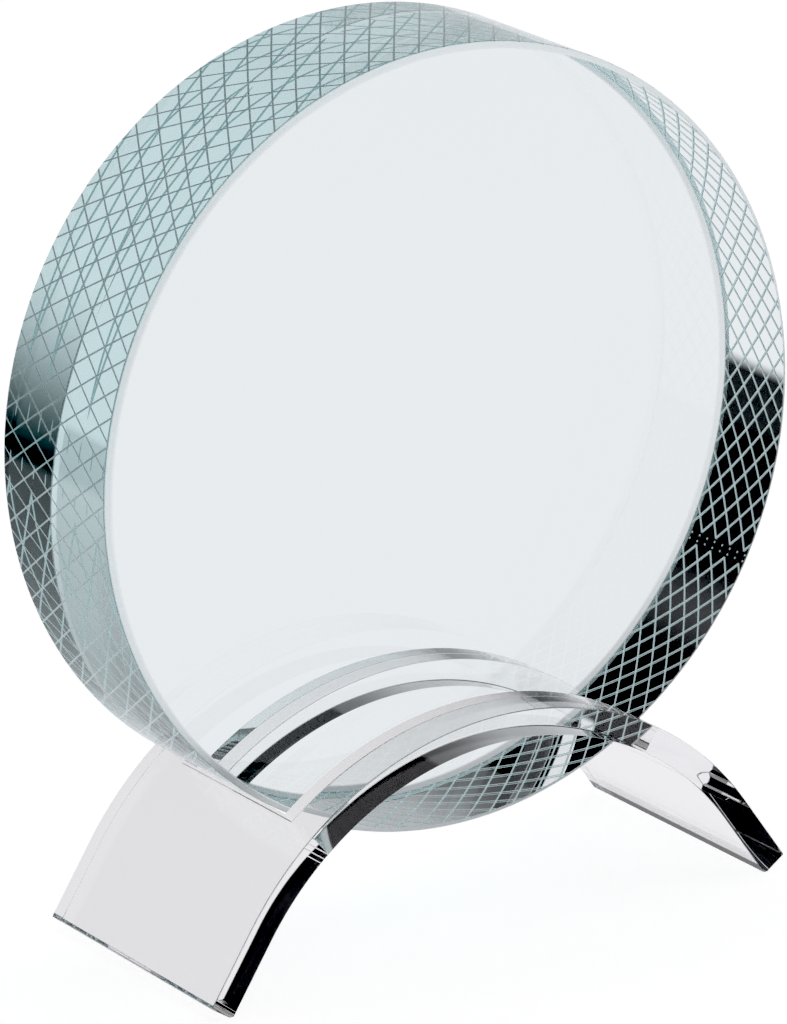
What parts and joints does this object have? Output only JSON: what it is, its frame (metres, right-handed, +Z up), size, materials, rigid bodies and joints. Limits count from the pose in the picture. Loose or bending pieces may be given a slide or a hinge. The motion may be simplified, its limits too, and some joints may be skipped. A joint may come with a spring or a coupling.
{
  "type": "countertop mirror",
  "caption": "Thick round clear block with a diamond lattice round its rim, standing upright in the slot of a bent clear arch.",
  "frame": {"origin": "on the surface that the object stands on, under the middle of its outer box", "axes": "+X to the right and -Y to the front, as seen by someone facing the disc, +Z up; the disc's own axis runs along Y"},
  "size_m": [0.2104, 0.08, 0.2386],
  "materials": {
    "clear_block": "polished, with a faint blue-green tint",
    "lattice_film": "clear film with a fine printed lattice",
    "clear_sheet": "polished clear sheet"
  },
  "bodies": {
    "base": {"arch_base": "clear_sheet"},
    "disc": {"clear_disc": "clear_block", "rim_film": "lattice_film"}
  },
  "joints": [
    {"name": "disc_lift", "type": "slide", "parent": "base", "child": "disc", "axis": [0, 0, 1], "range_m": [0, 0.045]}
  ]
}
